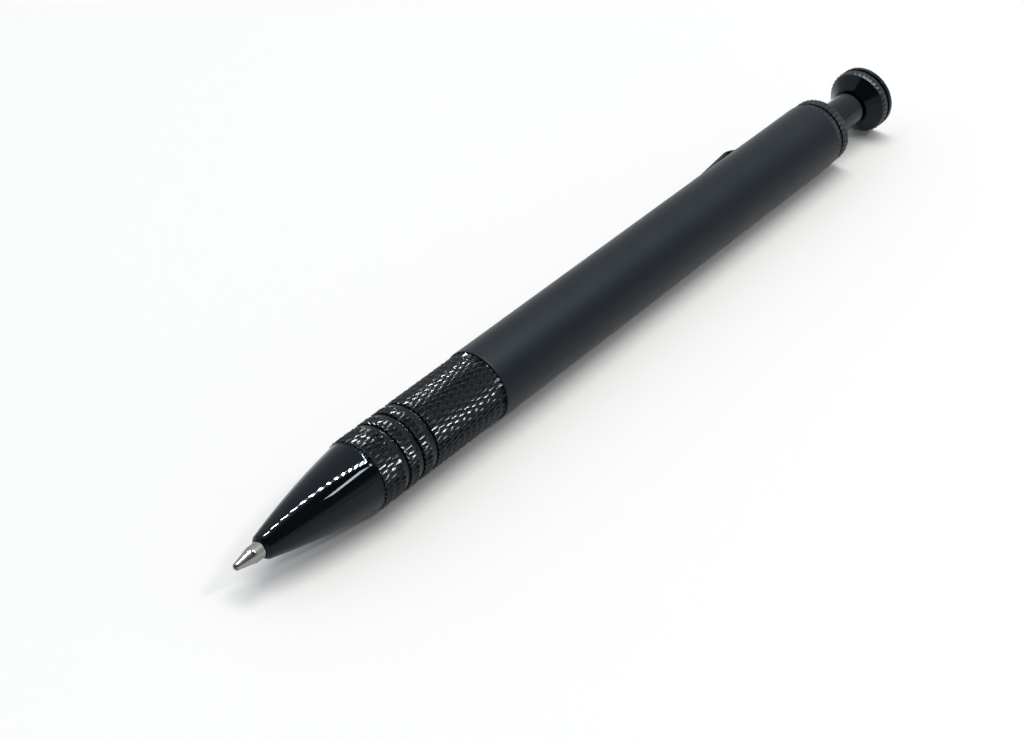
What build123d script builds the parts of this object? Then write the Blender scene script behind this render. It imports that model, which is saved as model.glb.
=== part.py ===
"""Push-button ballpoint pen with a knurled grip, a pocket clip and a round thumb button.

The pen lies along X with the nib at -X, resting on its barrel and on the lower edge of its clip.
Lengths are millimetres. The nib is out, which is the rest state of the click mechanism.
"""

import os
from math import acos, atan2, cos, hypot, pi, radians, sin, sqrt

from build123d import *

# Barrel, as long as the refill and the click mechanism need, with a tail behind the cam sleeve
barrel_radius = 5.5
barrel_tail = 11.75
barrel_wall = 1.2

# Grip: one long band at the rear, shorter ones in front, each with a tapered collar and a slot behind it
grip_radius = 5.4
front_bands = (3.7, 1.7, 1.6)
rear_band = 13.8
groove_length = 1.1
groove_shoulder = 0.28
groove_depth = 0.35
band_slot = 0.2
band_slot_depth = 0.5
grip_edge = 0.2

# Nose cone
nose_length = 17.65
nose_gap = 0.1
nose_base_radius = 5.1
nose_mid_radius = 3.75
nose_lip_radius = 1.75
nose_lip_round = 0.35
nose_edge = 0.25
nose_tenon_radius = 4.3
nose_tenon_length = 6.0

# Threaded bush between the grip and the barrel
bush_grip_length = 8.0
bush_barrel_length = 9.0
bush_grip_radius = 4.0

# Writing tip and refill
tip_exposed = 4.6
ball_radius = 0.4
ball_shown = 0.25
tip_rim_wall = 0.08
tip_cone_length = 2.7
tip_shoulder_radius = 1.1
tip_neck_radius = 1.17
tip_neck_length = 7.3
tip_stub_radius = 0.95
tip_stub_length = 5.0
ink_channel_radius = 0.25
ink_air_length = 14.0
refill_length = 98.0
refill_radius = 2.9
refill_wall = 0.3
refill_neck_radius = 1.45
refill_neck_length = 8.0
plug_length = 4.0
plug_stub_length = 3.0
plug_notches = 4
plug_notch_width = 1.2
plug_notch_depth = 1.0

# Refill spring
spring_wire_radius = 0.175
spring_turns = 8
wire_sides = 8
gap_samples = 24

# Click mechanism
retract_travel = 5.4
press_travel = 1.2
cam_slots = 4
cam_teeth = 8
half_pitch = 0.5
tooth_height = 0.8
crown_radius = 2.6
rotor_length = 6.0
rotor_front_radius = 2.0
rotor_collar = 1.0
rib_radius = 3.3
rib_width = 1.1
rib_slope = 0.6
spindle_radius = 1.1
spindle_length = 6.0
sleeve_ring = 3.0
push_rib_length = 3.0
push_spigot_radius = 1.8
push_spigot_length = 3.5

# Rear end: ferrule with a narrow band, a turned groove, then the end cap
ferrule_band = 0.95
ferrule_band_radius = 5.45
ferrule_spigot = 6.9
collar_groove = 0.5
collar_groove_depth = 0.4
ferrule_thread_radius = 4.4
ferrule_thread_length = 1.2
ferrule_lip = 0.35
end_cap_length = 1.45
end_cap_radius = 5.45
end_cap_wall = 0.65
collar_edge = 0.1

# Plunger
stem_radius = 2.8
stem_exposed = 8.5
stem_flange_height = 0.5
stem_flange_length = 1.5
neck_step = 0.45
neck_length = 0.6
neck_thread_length = 1.5
head_boss_radius = 3.05
head_cone_length = 1.9
head_face_radius = 5.0
head_radius = 5.3
head_edge_length = 0.3
head_band = 1.0
head_groove = 0.4
head_groove_depth = 0.5
plate_radius = 5.25
plate_thickness = 0.75
plate_edge = 0.1
plate_spigot_radius = 3.0
plate_spigot_length = 0.5

# Pocket clip, a bent strip whose foot sits in a slot in the barrel
clip_width = 5.0
clip_thickness = 0.9
clip_height = 9.0
clip_bend_radius = 0.75
clip_foot_from_rear = 10.35
clip_slope = 10.0
clip_slope_length = 10.0
clip_knee_radius = 20.0
clip_rest_slope = 1.9
clip_tip_radius = 4.0
clip_tip_angle = 32.0
clip_edge = 0.2
keeper_length = 2.6
keeper_wall = 0.8

# Clearances
seat_gap = 0.03
slide_gap = 0.07
face_gap = 0.1
latch_gap = 0.3
ball_gap = 0.02
refill_room = 0.2
spring_room = 0.15
shoulder_room = 1.1

# Stations along the pen, from the joint between grip and barrel, towards the button
grip_length = sum(front_bands) + rear_band + len(front_bands) * groove_length
grip_front = -grip_length
nose_base = grip_front - nose_gap
nose_lip = nose_base - nose_length
nib_end = nose_lip - tip_exposed
tip_rim = nib_end + ball_shown
cone_end = tip_rim + tip_cone_length
tip_neck_end = cone_end + tip_neck_length
tube_shoulder = tip_neck_end + refill_neck_length
refill_end = nib_end + refill_length
rotor_start = refill_end + face_gap
crown_root = rotor_start + rotor_length
crown_tip = crown_root + tooth_height
sleeve_front = crown_root + latch_gap
push_rib_start = sleeve_front + press_travel + tooth_height
slot_end = push_rib_start + push_rib_length + retract_travel + latch_gap
sleeve_end = slot_end + sleeve_ring
barrel_end = sleeve_end + barrel_tail
ferrule_end = barrel_end + ferrule_band
cap_start = ferrule_end + collar_groove
cap_end = cap_start + end_cap_length
stem_end = cap_end + stem_exposed
head_start = stem_end + neck_length
head_rim = head_start + head_cone_length + head_edge_length
head_back = head_rim + head_band
plate_start = head_back + head_groove
button_end = plate_start + plate_thickness

# Radii that follow from what runs or seats inside
barrel_bore = barrel_radius - barrel_wall
refill_bore = refill_radius + refill_room
spring_coil_radius = refill_neck_radius + spring_room + spring_wire_radius
spring_pocket_radius = spring_coil_radius + spring_wire_radius + spring_room
stem_bore = stem_radius + slide_gap
stem_flange_radius = stem_radius + stem_flange_height
flange_bore = stem_flange_radius + slide_gap
neck_radius = stem_radius - neck_step

# The clip's lower edge and the barrel touch the ground together, which sets how far round it points
clip_corner = hypot(clip_height, clip_width / 2)
clip_half_angle = atan2(clip_width / 2, clip_height)
clip_roll = acos(barrel_radius / clip_corner) + clip_half_angle
upper_corner_angle = min(clip_roll + clip_half_angle, pi / 2)
axis_z = barrel_radius
axis_y = (barrel_radius - clip_corner * sin(upper_corner_angle)) / 2
zero_x = -(nib_end + button_end) / 2

pen_axis = Axis((zero_x, axis_y, axis_z), (1, 0, 0))
section = Plane((zero_x, axis_y, axis_z), x_dir=(1, 0, 0), z_dir=(0, -1, 0))
clip_plane = Plane(
    (zero_x, axis_y, axis_z), x_dir=(1, 0, 0), z_dir=(0, cos(clip_roll), sin(clip_roll))
)


def across(station):
    """Plane square to the pen at a station, with its normal towards the button."""
    return Plane((zero_x + station, axis_y, axis_z), x_dir=(0, 1, 0), z_dir=(1, 0, 0))


def outward(angle, radius):
    """Plane at a radius that faces outward at an angle round the pen, with X along the pen."""
    way = Vector(0, cos(radians(angle)), sin(radians(angle)))
    return Plane(Vector(zero_x, axis_y, axis_z) + way * radius, x_dir=(1, 0, 0), z_dir=way)


def turned(points):
    """Turns a closed outline of (station, radius) points round the pen axis."""
    with BuildSketch(section) as outline_face:
        with BuildLine():
            Polyline(*points, close=True)
        make_face()
    revolve(outline_face.sketch, axis=pen_axis)


def crown_notches(root, tip, first):
    """Cuts a crown's V notches, wider further out, the first one a part of a tooth round."""
    inner = spindle_radius / 2
    outer = barrel_bore
    depth = tip - root
    over = tip + depth / abs(depth) * face_gap
    for tooth in range(cam_teeth):
        angle = (tooth + first) * 360 / cam_teeth
        ends = []
        for radius in (inner, outer):
            half = radius * pi / cam_teeth * (over - root) / depth
            with BuildSketch(outward(angle, radius)) as notch_end:
                with BuildLine():
                    Polyline((root, 0), (over, half), (over, -half), close=True)
                make_face()
            ends.append(notch_end.sketch)
        loft(ends, ruled=True, mode=Mode.SUBTRACT)


os.makedirs("parts", exist_ok=True)

# Nose cone: a turned ogive with a rounded lip, a spring pocket and a tenon inside the grip
tenon_end = nose_base + nose_tenon_length
lip_bore = tip_neck_radius + slide_gap
spring_seat = tip_neck_end - press_travel - shoulder_room
pocket_end = tube_shoulder - press_travel - shoulder_room
with BuildPart() as nose_cone:
    with BuildSketch(section):
        with BuildLine():
            lip = (nose_lip + nose_lip_round, nose_lip_radius)
            middle = ((nose_lip + nose_base) / 2, nose_mid_radius)
            base = (nose_base - nose_edge, nose_base_radius)
            ThreePointArc(lip, middle, base)
            Polyline(
                base,
                (nose_base, nose_base_radius - nose_edge),
                (nose_base, nose_tenon_radius - seat_gap),
                (tenon_end, nose_tenon_radius - seat_gap),
                (tenon_end, refill_bore),
                (pocket_end, refill_bore),
                (pocket_end, spring_pocket_radius),
                (spring_seat, spring_pocket_radius),
                (spring_seat, lip_bore),
                (nose_lip, lip_bore),
                (nose_lip, nose_lip_radius - nose_lip_round),
                lip,
            )
        make_face()
    revolve(axis=pen_axis)
nose_cone.part.label = "nose_cone"
export_step(nose_cone.part, "parts/nose_cone.step")

# Grip sleeve: four bands, with a collar falling away behind each to a slot at the next one
socket_end = tenon_end + face_gap
bush_front = -bush_grip_length
outline = [(grip_front, grip_radius - grip_edge), (grip_front + grip_edge, grip_radius)]
reach = grip_front
for band in front_bands:
    reach += band
    outline.append((reach, grip_radius))
    outline.append((reach, grip_radius - groove_shoulder))
    slot_start = reach + groove_length - band_slot
    reach += groove_length
    outline.append((slot_start, grip_radius - groove_depth))
    outline.append((slot_start, grip_radius - band_slot_depth))
    outline.append((reach, grip_radius - band_slot_depth))
    outline.append((reach, grip_radius))
with BuildPart() as grip_sleeve:
    turned(
        outline
        + [
            (0, grip_radius),
            (0, bush_grip_radius),
            (bush_front - face_gap, bush_grip_radius),
            (bush_front - face_gap, refill_bore),
            (socket_end, refill_bore),
            (socket_end, nose_tenon_radius),
            (grip_front, nose_tenon_radius),
        ]
    )
grip_sleeve.part.label = "grip_sleeve"
export_step(grip_sleeve.part, "parts/grip_sleeve.step")

# Brass bush that the grip screws onto, pressed into the front of the barrel
with BuildPart() as grip_bush:
    turned(
        [
            (bush_front, refill_bore),
            (bush_front, bush_grip_radius - seat_gap),
            (0, bush_grip_radius - seat_gap),
            (0, barrel_bore - seat_gap),
            (bush_barrel_length, barrel_bore - seat_gap),
            (bush_barrel_length, refill_bore),
        ]
    )
grip_bush.part.label = "grip_bush"
export_step(grip_bush.part, "parts/grip_bush.step")

# Barrel: a plain tube with a slot for the clip's foot
clip_foot = barrel_end - clip_foot_from_rear
keeper_bore = barrel_bore - seat_gap - keeper_wall
slot_across = clip_width + 2 * seat_gap
slot_along = clip_thickness + 2 * seat_gap
with BuildPart() as barrel_tube:
    turned(
        [
            (seat_gap, barrel_bore),
            (seat_gap, barrel_radius),
            (barrel_end, barrel_radius),
            (barrel_end, barrel_bore),
        ]
    )
    with BuildSketch(clip_plane):
        with Locations((clip_foot, barrel_radius)):
            Rectangle(slot_along, 2 * barrel_radius)
    extrude(amount=slot_across / 2, both=True, mode=Mode.SUBTRACT)
barrel_tube.part.label = "barrel_tube"
export_step(barrel_tube.part, "parts/barrel_tube.step")

# Pocket clip: foot, bend, sloping arm, a knee, a long run that meets the barrel, and a lifted tip
contact_height = barrel_radius + seat_gap + clip_thickness / 2
knee_turn = clip_slope - clip_rest_slope
with BuildPart() as clip:
    with BuildSketch(clip_plane):
        with BuildLine():
            bend_start = clip_height - clip_thickness / 2 - clip_bend_radius
            foot = Line((clip_foot, keeper_bore), (clip_foot, bend_start))
            bend = JernArc(foot @ 1, foot % 1, clip_bend_radius, 90 + clip_slope)
            arm = PolarLine(bend @ 1, clip_slope_length, direction=bend % 1)
            knee = JernArc(arm @ 1, arm % 1, clip_knee_radius, -knee_turn)
            rest_length = ((knee @ 1).Y - contact_height) / sin(radians(clip_rest_slope))
            rest = PolarLine(knee @ 1, rest_length, direction=knee % 1)
            JernArc(rest @ 1, rest % 1, clip_tip_radius, -clip_tip_angle)
        trace(line_width=clip_thickness)
    extrude(amount=clip_width / 2, both=True)
    edges_across = clip.edges().filter_by(Axis(clip_plane.origin, clip_plane.z_dir))
    fillet(edges_across.sort_by(Axis.X)[:2], clip_edge)
clip.part.label = "clip"
export_step(clip.part, "parts/clip.step")

# Clip keeper: a ring sprung into the barrel that locks the clip's foot from inside
keeper_start = clip_foot - keeper_length / 2
with BuildPart() as clip_keeper:
    turned(
        [
            (keeper_start, keeper_bore),
            (keeper_start, barrel_bore - seat_gap),
            (keeper_start + keeper_length, barrel_bore - seat_gap),
            (keeper_start + keeper_length, keeper_bore),
        ]
    )
    with BuildSketch(clip_plane):
        with Locations((clip_foot, barrel_radius)):
            Rectangle(slot_along, 2 * barrel_radius)
    extrude(amount=slot_across / 2, both=True, mode=Mode.SUBTRACT)
clip_keeper.part.label = "clip_keeper"
export_step(clip_keeper.part, "parts/clip_keeper.step")

# Rear ferrule: a spigot in the barrel, a narrow band and a thread for the end cap
lip_start = ferrule_end - ferrule_lip
groove_floor = ferrule_band_radius - collar_groove_depth
ferrule_front = barrel_end - ferrule_spigot
thread_end = cap_start + ferrule_thread_length - collar_groove
with BuildPart() as rear_ferrule:
    turned(
        [
            (ferrule_front, flange_bore),
            (ferrule_front, barrel_bore - seat_gap),
            (barrel_end, barrel_bore - seat_gap),
            (barrel_end, ferrule_band_radius),
            (ferrule_end - collar_edge, ferrule_band_radius),
            (ferrule_end, ferrule_band_radius - collar_edge),
            (ferrule_end, groove_floor),
            (cap_start, groove_floor),
            (cap_start, ferrule_thread_radius - seat_gap),
            (thread_end, ferrule_thread_radius - seat_gap),
            (thread_end, stem_bore),
            (lip_start, stem_bore),
            (lip_start, flange_bore),
        ]
    )
rear_ferrule.part.label = "rear_ferrule"
export_step(rear_ferrule.part, "parts/rear_ferrule.step")

# End cap: the last ring, screwed over the ferrule's thread, with a hole for the stem
cap_inside = cap_end - end_cap_wall
with BuildPart() as end_cap:
    turned(
        [
            (cap_start, ferrule_thread_radius),
            (cap_start, end_cap_radius - collar_edge),
            (cap_start + collar_edge, end_cap_radius),
            (cap_end - collar_edge, end_cap_radius),
            (cap_end, end_cap_radius - collar_edge),
            (cap_end, stem_bore),
            (cap_inside, stem_bore),
            (cap_inside, ferrule_thread_radius),
        ]
    )
end_cap.part.label = "end_cap"
export_step(end_cap.part, "parts/end_cap.step")

# Writing tip: ball socket, ink channel, cone, long neck and a stub pressed into the refill tube
ball_centre = nib_end + ball_radius
socket_radius = ball_radius + ball_gap
socket_mouth = sqrt(socket_radius**2 - (ball_centre - tip_rim) ** 2)
socket_floor = ball_centre + sqrt(socket_radius**2 - ink_channel_radius**2)
stub_end = tip_neck_end + tip_stub_length
with BuildPart() as refill_tip:
    with BuildSketch(section):
        with BuildLine():
            mouth = (tip_rim, socket_mouth)
            floor = (socket_floor, ink_channel_radius)
            ThreePointArc(mouth, (ball_centre, socket_radius), floor)
            Polyline(
                floor,
                (stub_end, ink_channel_radius),
                (stub_end, tip_stub_radius),
                (tip_neck_end, tip_stub_radius),
                (tip_neck_end, tip_neck_radius),
                (cone_end + tip_neck_radius - tip_shoulder_radius, tip_neck_radius),
                (cone_end, tip_shoulder_radius),
                (tip_rim, ball_radius + tip_rim_wall),
                mouth,
            )
        make_face()
    revolve(axis=pen_axis)
refill_tip.part.label = "refill_tip"
export_step(refill_tip.part, "parts/refill_tip.step")

# Writing ball
with BuildPart() as tip_ball:
    with Locations((zero_x + ball_centre, axis_y, axis_z)):
        Sphere(ball_radius)
tip_ball.part.label = "tip_ball"
export_step(tip_ball.part, "parts/tip_ball.step")

# Refill tube: thin-walled, drawn in to a neck at the front, with a shoulder for the spring
plug_start = refill_end - plug_length
ink_radius = refill_radius - refill_wall
stub_bore = tip_stub_radius + seat_gap
with BuildPart() as refill_tube:
    turned(
        [
            (tip_neck_end, stub_bore),
            (tip_neck_end, refill_neck_radius),
            (tube_shoulder, refill_neck_radius),
            (tube_shoulder, refill_radius),
            (plug_start, refill_radius),
            (plug_start, ink_radius),
            (tube_shoulder + refill_wall, ink_radius),
            (tube_shoulder + refill_wall, stub_bore),
        ]
    )
refill_tube.part.label = "refill_tube"
export_step(refill_tube.part, "parts/refill_tube.step")

# Ink: fills the tube behind the tip, with an air space ahead of the plug
ink_step = tube_shoulder + refill_wall + seat_gap
ink_end = plug_start - plug_stub_length - ink_air_length
with BuildPart() as ink_column:
    turned(
        [
            (stub_end + seat_gap, 0),
            (stub_end + seat_gap, tip_stub_radius),
            (ink_step, tip_stub_radius),
            (ink_step, ink_radius - seat_gap),
            (ink_end, ink_radius - seat_gap),
            (ink_end, 0),
        ]
    )
ink_column.part.label = "ink_column"
export_step(ink_column.part, "parts/ink_column.step")

# Refill plug: closes the tube, with notches in its rear face that let air in
with BuildPart() as refill_plug:
    turned(
        [
            (plug_start - plug_stub_length, 0),
            (plug_start - plug_stub_length, ink_radius - seat_gap),
            (plug_start, ink_radius - seat_gap),
            (plug_start, refill_radius),
            (refill_end, refill_radius),
            (refill_end, 0),
        ]
    )
    with BuildSketch(across(refill_end)):
        with PolarLocations(refill_radius, plug_notches):
            Rectangle(refill_radius, plug_notch_width)
    extrude(amount=-plug_notch_depth, mode=Mode.SUBTRACT)
refill_plug.part.label = "refill_plug"
export_step(refill_plug.part, "parts/refill_plug.step")

# Refill spring: one wire wound between the nose's seat and the refill's shoulder
spring_front = spring_seat + spring_wire_radius + seat_gap
spring_back = tube_shoulder - spring_wire_radius - seat_gap
spring_climb = (spring_back - spring_front) / (2 * pi * spring_turns)


def coil_point(turn):
    """Point of the wire's centre line, an angle in radians round the coil."""
    return Vector(
        zero_x + spring_front + spring_climb * turn,
        axis_y + spring_coil_radius * cos(turn),
        axis_z + spring_coil_radius * sin(turn),
    )


def coil_way(turn):
    """Direction of the wire's centre line, an angle in radians round the coil."""
    return Vector(
        spring_climb, -spring_coil_radius * sin(turn), spring_coil_radius * cos(turn)
    ).normalized()


with BuildPart() as refill_spring:
    with BuildLine():
        for step in range(2 * spring_turns):
            start, finish = coil_point(step * pi), coil_point((step + 1) * pi)
            way_in, way_out = coil_way(step * pi), coil_way((step + 1) * pi)
            chord = finish - start
            along = chord.dot(way_in + way_out)
            spread = 2 * (1 - way_in.dot(way_out))
            reach = (sqrt(along**2 + spread * chord.dot(chord)) - along) / spread
            joint_in, joint_out = start + way_in * reach, finish - way_out * reach
            TangentArc(start, (joint_in + joint_out) / 2, tangent=way_in)
            TangentArc((joint_in + joint_out) / 2, finish, tangent=joint_out - joint_in)
    with BuildSketch(Plane(coil_point(0), z_dir=coil_way(0))):
        RegularPolygon(spring_wire_radius, wire_sides)
    sweep()
refill_spring.part.label = "refill_spring"
export_step(refill_spring.part, "parts/refill_spring.step")
turn_step = 2 * pi / gap_samples
wire_points = [coil_point(n * turn_step) for n in range(gap_samples * spring_turns + 1)]
spring_gap = min(
    (first - second).length - 2 * spring_wire_radius
    for n, first in enumerate(wire_points)
    for second in wire_points[n + gap_samples // 2 :]
)
print(f"refill_spring: least gap to itself {spring_gap:.2f} mm")

# Rotor: ribs that ride in the sleeve's slots, a crown behind them and a spindle
rib_start = rotor_start + rotor_collar
with BuildPart() as rotor:
    turned(
        [
            (rotor_start, 0),
            (rotor_start, rotor_front_radius),
            (rib_start, crown_radius),
            (crown_tip, crown_radius),
            (crown_tip, 0),
        ]
    )
    crown_notches(crown_root, crown_tip, half_pitch)
    turned(
        [
            (rotor_start, 0),
            (rotor_start, spindle_radius),
            (crown_tip + spindle_length, spindle_radius),
            (crown_tip + spindle_length, 0),
        ]
    )
    for rib in range(cam_slots):
        with BuildSketch(outward(rib * 360 / cam_slots, spindle_radius)):
            with BuildLine():
                Polyline(
                    (rib_start, rib_width / 2),
                    (rib_start, -rib_width / 2),
                    (crown_root - rib_slope, -rib_width / 2),
                    (crown_root, rib_width / 2),
                    close=True,
                )
            make_face()
        extrude(amount=rib_radius - spindle_radius)
rotor.part.label = "rotor"
export_step(rotor.part, "parts/rotor.step")

# Cam sleeve: pressed into the barrel, slotted for the ribs, with a ramp and stop on each land
slot_length = slot_end - sleeve_front
slot_radius = rib_radius + face_gap
slot_width = rib_width + 2 * face_gap
land_angle = 360 / cam_slots
with BuildPart() as cam_sleeve:
    turned(
        [
            (sleeve_front, crown_radius + face_gap),
            (sleeve_front, barrel_bore - seat_gap),
            (sleeve_end, barrel_bore - seat_gap),
            (sleeve_end, crown_radius + face_gap),
        ]
    )
    for slot in range(cam_slots):
        with BuildSketch(outward(slot * land_angle, 0)):
            with Locations((sleeve_front + slot_length / 2, 0)):
                Rectangle(slot_length, slot_width)
        extrude(amount=slot_radius, mode=Mode.SUBTRACT)
    for land in range(cam_slots):
        land_half = slot_radius * radians(land_angle) / 2
        with BuildSketch(outward((land + half_pitch) * land_angle, 0)):
            with BuildLine():
                Polyline(
                    (sleeve_front, 0),
                    (sleeve_front, land_half),
                    (sleeve_front + tooth_height, 0),
                    close=True,
                )
            make_face()
        extrude(amount=slot_radius, mode=Mode.SUBTRACT)
cam_sleeve.part.label = "cam_sleeve"
export_step(cam_sleeve.part, "parts/cam_sleeve.step")

# Push cam: its crown floats clear of the rotor's while the nib is latched out, until it is pressed;
# guide ribs run in the same slots and a spigot sits in the stem
flange_end = lip_start - retract_travel - face_gap
stem_start = flange_end - stem_flange_length
push_tip = crown_tip + face_gap
push_root = push_tip + tooth_height
spindle_bore = spindle_radius + slide_gap
spindle_room = crown_tip + spindle_length + face_gap
with BuildPart() as push_cam:
    turned(
        [
            (push_tip, spindle_bore),
            (push_tip, crown_radius),
            (stem_start, crown_radius),
            (stem_start, push_spigot_radius),
            (stem_start + push_spigot_length, push_spigot_radius),
            (stem_start + push_spigot_length, 0),
            (spindle_room, 0),
            (spindle_room, spindle_bore),
        ]
    )
    crown_notches(push_root, push_tip, 0)
    for rib in range(cam_slots):
        with BuildSketch(outward(rib * 360 / cam_slots, spindle_bore)):
            with Locations((push_rib_start + push_rib_length / 2, 0)):
                Rectangle(push_rib_length, rib_width)
        extrude(amount=rib_radius - spindle_bore)
push_cam.part.label = "push_cam"
export_step(push_cam.part, "parts/push_cam.step")

# Plunger stem: a flange that stops inside the ferrule, the polished stem and a threaded neck
thread_tip = head_start + neck_thread_length
spigot_bore = push_spigot_radius + seat_gap
with BuildPart() as plunger_stem:
    turned(
        [
            (stem_start + push_spigot_length + face_gap, 0),
            (stem_start + push_spigot_length + face_gap, spigot_bore),
            (stem_start, spigot_bore),
            (stem_start, stem_flange_radius),
            (flange_end, stem_flange_radius),
            (flange_end, stem_radius),
            (stem_end - collar_edge, stem_radius),
            (stem_end, stem_radius - collar_edge),
            (stem_end, neck_radius),
            (thread_tip, neck_radius),
            (thread_tip, 0),
        ]
    )
plunger_stem.part.label = "plunger_stem"
export_step(plunger_stem.part, "parts/plunger_stem.step")

# Button head: a cone from the boss out to the rim, with the band round it
with BuildPart() as button_head:
    turned(
        [
            (head_start, neck_radius + seat_gap),
            (head_start, head_boss_radius),
            (head_start + head_cone_length, head_face_radius),
            (head_rim, head_radius),
            (head_back, head_radius),
            (head_back, plate_spigot_radius + seat_gap),
            (head_back - plate_spigot_length, plate_spigot_radius + seat_gap),
            (head_back - plate_spigot_length, neck_radius + seat_gap),
        ]
    )
button_head.part.label = "button_head"
export_step(button_head.part, "parts/button_head.step")

# Button plate: the plain disc at the very end, with a step that leaves a dark line round the head
with BuildPart() as button_plate:
    turned(
        [
            (head_back - plate_spigot_length, 0),
            (head_back - plate_spigot_length, plate_spigot_radius),
            (head_back, plate_spigot_radius),
            (head_back, head_radius - head_groove_depth),
            (plate_start, head_radius - head_groove_depth),
            (plate_start, plate_radius),
            (button_end - plate_edge, plate_radius),
            (button_end, plate_radius - plate_edge),
            (button_end, 0),
        ]
    )
button_plate.part.label = "button_plate"
export_step(button_plate.part, "parts/button_plate.step")
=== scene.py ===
"""Looks of a push-button ballpoint pen in black metal.

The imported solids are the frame. Every piece that shows is modelled again here at the solids' own sizes,
with the knurl, the rounded edges and the finish that the solids leave out. Sizes are millimetres, and
stations run along the pen from the joint of grip and barrel towards the button.
"""

import logging
import math
from collections.abc import Sequence
from dataclasses import dataclass
from enum import Enum

import bmesh
import bpy
from bmesh.types import BMesh, BMFace, BMVert
from mathutils import Matrix, Quaternion, Vector


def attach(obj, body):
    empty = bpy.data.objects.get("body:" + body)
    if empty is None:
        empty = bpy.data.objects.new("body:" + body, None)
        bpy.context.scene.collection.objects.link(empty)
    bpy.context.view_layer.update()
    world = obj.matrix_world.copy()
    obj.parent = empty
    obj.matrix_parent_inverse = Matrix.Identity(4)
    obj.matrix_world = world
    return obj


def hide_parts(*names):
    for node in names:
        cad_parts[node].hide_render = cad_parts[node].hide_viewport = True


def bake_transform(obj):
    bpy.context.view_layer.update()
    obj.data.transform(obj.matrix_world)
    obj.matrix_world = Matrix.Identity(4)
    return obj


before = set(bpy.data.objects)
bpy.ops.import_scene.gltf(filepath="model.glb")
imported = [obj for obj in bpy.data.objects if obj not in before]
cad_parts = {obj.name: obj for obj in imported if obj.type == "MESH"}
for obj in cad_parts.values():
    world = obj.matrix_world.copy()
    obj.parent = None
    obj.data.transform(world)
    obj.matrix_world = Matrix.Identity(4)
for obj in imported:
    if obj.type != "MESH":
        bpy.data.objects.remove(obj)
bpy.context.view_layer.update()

Pair = tuple[float, float]
Triple = tuple[float, float, float]

MM = 0.001
FULL_TURN = 2 * math.pi
UP = Vector((0, 0, 1))
FLATS = 160
FINE_FLATS = 192
CREASE = math.radians(38)
SAME_PLACE = 1e-7
SHEEN_ROUGHNESS = 0.3
PATCH_DETAIL = 4.0
GRAIN_DETAIL = 2.0
NOISE_RANGE = (0.3, 0.7)
log = logging.getLogger("pen")


@dataclass(frozen=True)
class PenAxis:
    """The pen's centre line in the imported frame.

    Attributes:
        zero: X of station 0.
        y: Y of the centre line.
        z: Z of the centre line.
    """

    zero: float = -26.65
    y: float = -1.9024
    z: float = 5.5

    def at(self, station: float, radius: float = 0.0, angle: float = 0.0) -> Vector:
        """Gives a point near the pen.

        Args:
            station: Millimetres along the pen.
            radius: Millimetres from the centre line.
            angle: Radians round the pen from straight up.

        Returns:
            The point in metres.
        """
        across, up = radius * math.sin(angle), radius * math.cos(angle)
        return Vector((self.zero + station, self.y + across, self.z + up)) * MM

    def polar(self, point: Vector) -> Triple:
        """Gives the station, radius and angle of a point.

        Args:
            point: A point in metres.

        Returns:
            Station and radius in millimetres, and the angle in radians.
        """
        across, up = point.y / MM - self.y, point.z / MM - self.z
        return point.x / MM - self.zero, math.hypot(across, up), math.atan2(across, up)


class Grain(Enum):
    """How a surface was worked, as the stretch of its fine relief along and across the pen."""

    EVEN = (1.0, 1.0)
    TURNED = (1.0, 0.02)
    DRAWN = (0.02, 1.0)


def dial(node: bpy.types.Node, **values: float | Sequence[float]) -> None:
    """Sets the constants on a node's sockets, with _ for the spaces in their names."""
    for socket, value in values.items():
        node.inputs[socket.replace("_", " ")].default_value = value


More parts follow.
